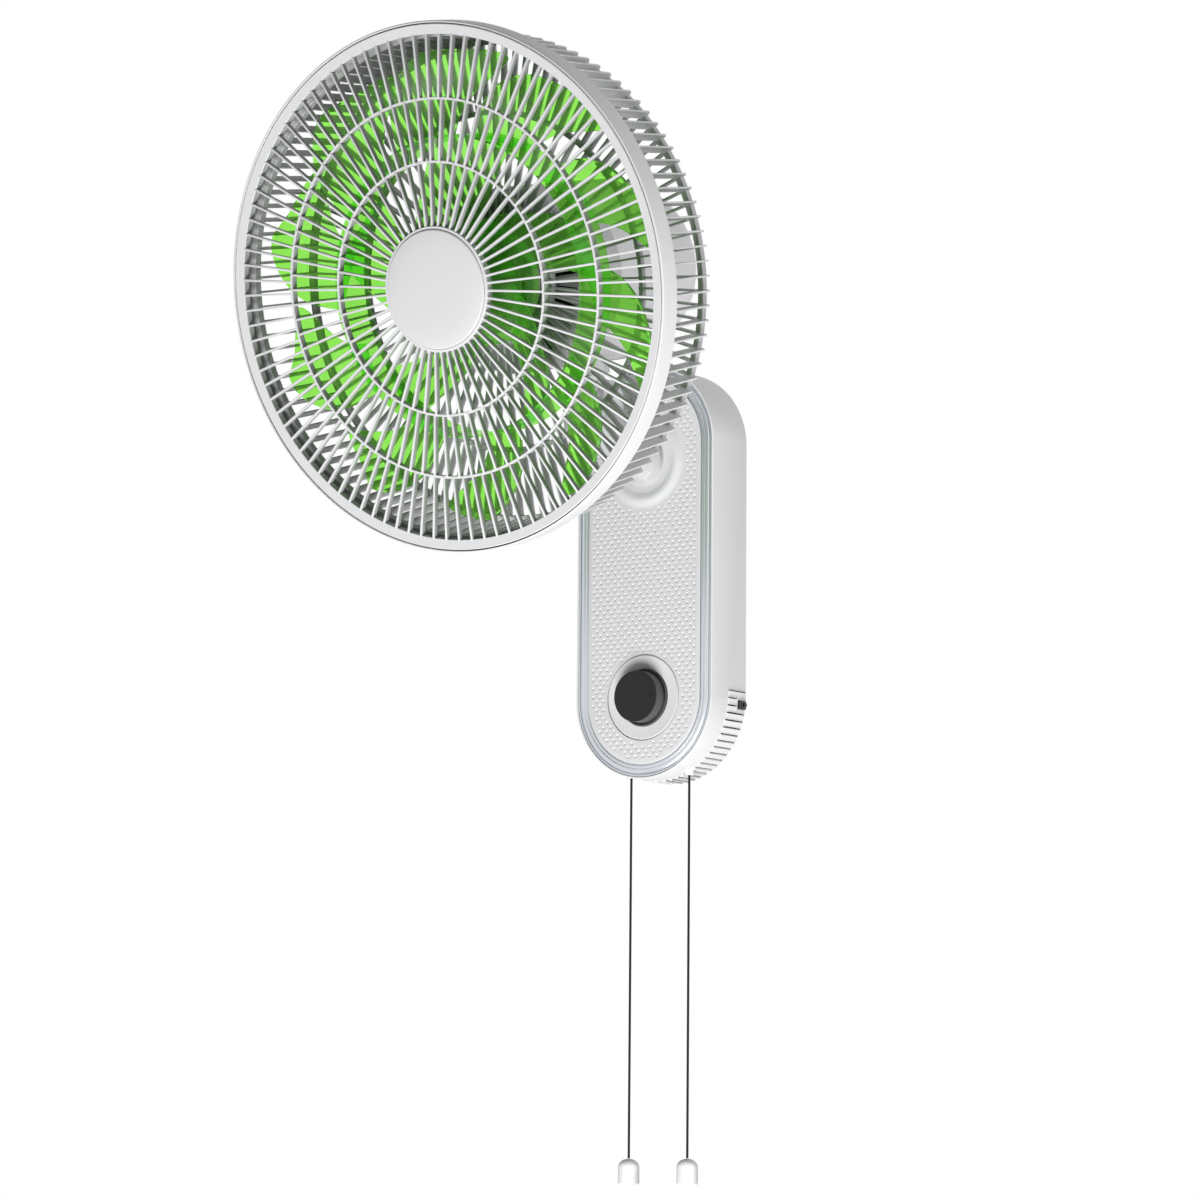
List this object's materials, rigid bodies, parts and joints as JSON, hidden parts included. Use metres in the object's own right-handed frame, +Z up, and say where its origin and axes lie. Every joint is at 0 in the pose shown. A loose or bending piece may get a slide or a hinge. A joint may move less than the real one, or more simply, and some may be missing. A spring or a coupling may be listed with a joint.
{
  "type": "wall fan",
  "caption": "Wall fan with a round vaned guard, clear green blades, a tilting and swinging motor head, and a long rounded base with a knob and pull cords.",
  "frame": {"origin": "middle of the wall plate's back face, where the base meets the wall", "axes": "+X to the right of a person facing the fan, +Y into the wall, +Z up"},
  "size_m": [0.4392, 0.4032, 0.9518],
  "materials": {
    "white_plastic": "smooth, softly shining white",
    "panel_plastic": "satin white with fine raised dots",
    "silver_trim": "silver grey with fine ridges",
    "black_plastic": "matt black",
    "green_plastic": "clear lime green, glossy",
    "grey_plastic": "satin light grey",
    "steel": "plain steel",
    "laminations": "stacked steel sheets",
    "copper": "enamelled wire",
    "cord_black": "black braided cord"
  },
  "bodies": {
    "base": {"wall_plate": "grey_plastic", "base_shell": "white_plastic", "trim_ring": "silver_trim", "front_panel": "panel_plastic", "dial_dish": "white_plastic", "timer_switch": "grey_plastic", "speed_switch": "grey_plastic", "swing_switch": "grey_plastic", "cord_guide_left": "white_plastic", "cord_guide_right": "white_plastic", "run_capacitor": "black_plastic", "terminal_block": "grey_plastic", "cord_gland": "black_plastic", "base_arm": "white_plastic", "arm_screw_left": "steel", "arm_screw_right": "steel", "tilt_bolt": "steel", "tilt_nut": "steel"},
    "tilt": {"tilt_knuckle": "white_plastic", "swing_spindle": "steel", "swing_lever": "steel"},
    "head": {"swing_bearing": "black_plastic", "motor_front_cover": "grey_plastic", "motor_rear_cover": "white_plastic", "stator_core": "laminations", "field_windings": "copper", "front_bracket": "steel", "rear_bracket": "steel", "front_bearing": "steel", "rear_bearing": "steel", "swing_motor": "grey_plastic", "front_grille": "white_plastic", "centre_cap": "white_plastic", "rim_band": "white_plastic", "rear_guard_side": "white_plastic", "rear_guard_back": "white_plastic", "guard_nut": "white_plastic"},
    "rotor": {"rotor_shaft": "steel", "rotor_core": "laminations", "blade_nut": "black_plastic", "impeller": "green_plastic"},
    "crank": {"crank_disc": "steel"},
    "link": {"link_rod": "steel"},
    "dial": {"timer_knob": "black_plastic", "timer_shaft": "steel"},
    "pull_left": {"pull_cord_left": "cord_black", "pull_knob_left": "white_plastic"},
    "pull_right": {"pull_cord_right": "cord_black", "pull_knob_right": "white_plastic"}
  },
  "joints": [
    {"name": "tilt_hinge", "type": "hinge", "parent": "base", "child": "tilt", "pos_m": [0, -0.13202, 0.14002], "axis": [1, 0, 0], "range_deg": [-9, 6]},
    {"name": "swing_hinge", "type": "hinge", "parent": "tilt", "child": "head", "pos_m": [0, -0.13202, 0.14002], "axis": [0, -0.2385, 0.9711], "range_deg": [-40, 40]},
    {"name": "blade_spin", "type": "hinge", "parent": "head", "child": "rotor", "pos_m": [0, -0.30924, 0.20966], "axis": [0, 0.9711, 0.2385], "continuous": true},
    {"name": "crank_spin", "type": "hinge", "parent": "head", "child": "crank", "pos_m": [0, -0.11037, 0.20702], "axis": [0, -0.2385, 0.9711], "continuous": true},
    {"name": "link_pivot", "type": "hinge", "parent": "crank", "child": "link", "pos_m": [-0.00666, -0.1108, 0.1997], "axis": [0, -0.2385, 0.9711], "continuous": true},
    {"name": "timer_turn", "type": "hinge", "parent": "base", "child": "dial", "pos_m": [0, -0.06, -0.111], "axis": [0, 1, 0], "range_deg": [-90, 180]},
    {"name": "cord_pull_left", "type": "slide", "parent": "base", "child": "pull_left", "axis": [0, 0, -1], "range_m": [0, 0.012], "stiffness_N_per_m": 250, "springref_m": -0.01},
    {"name": "cord_pull_right", "type": "slide", "parent": "base", "child": "pull_right", "axis": [0, 0, -1], "range_m": [0, 0.012], "stiffness_N_per_m": 250, "springref_m": -0.01}
  ],
  "couplings": [
    {"joint": "link_pivot", "follows": "crank_spin", "ratio": -1}
  ]
}
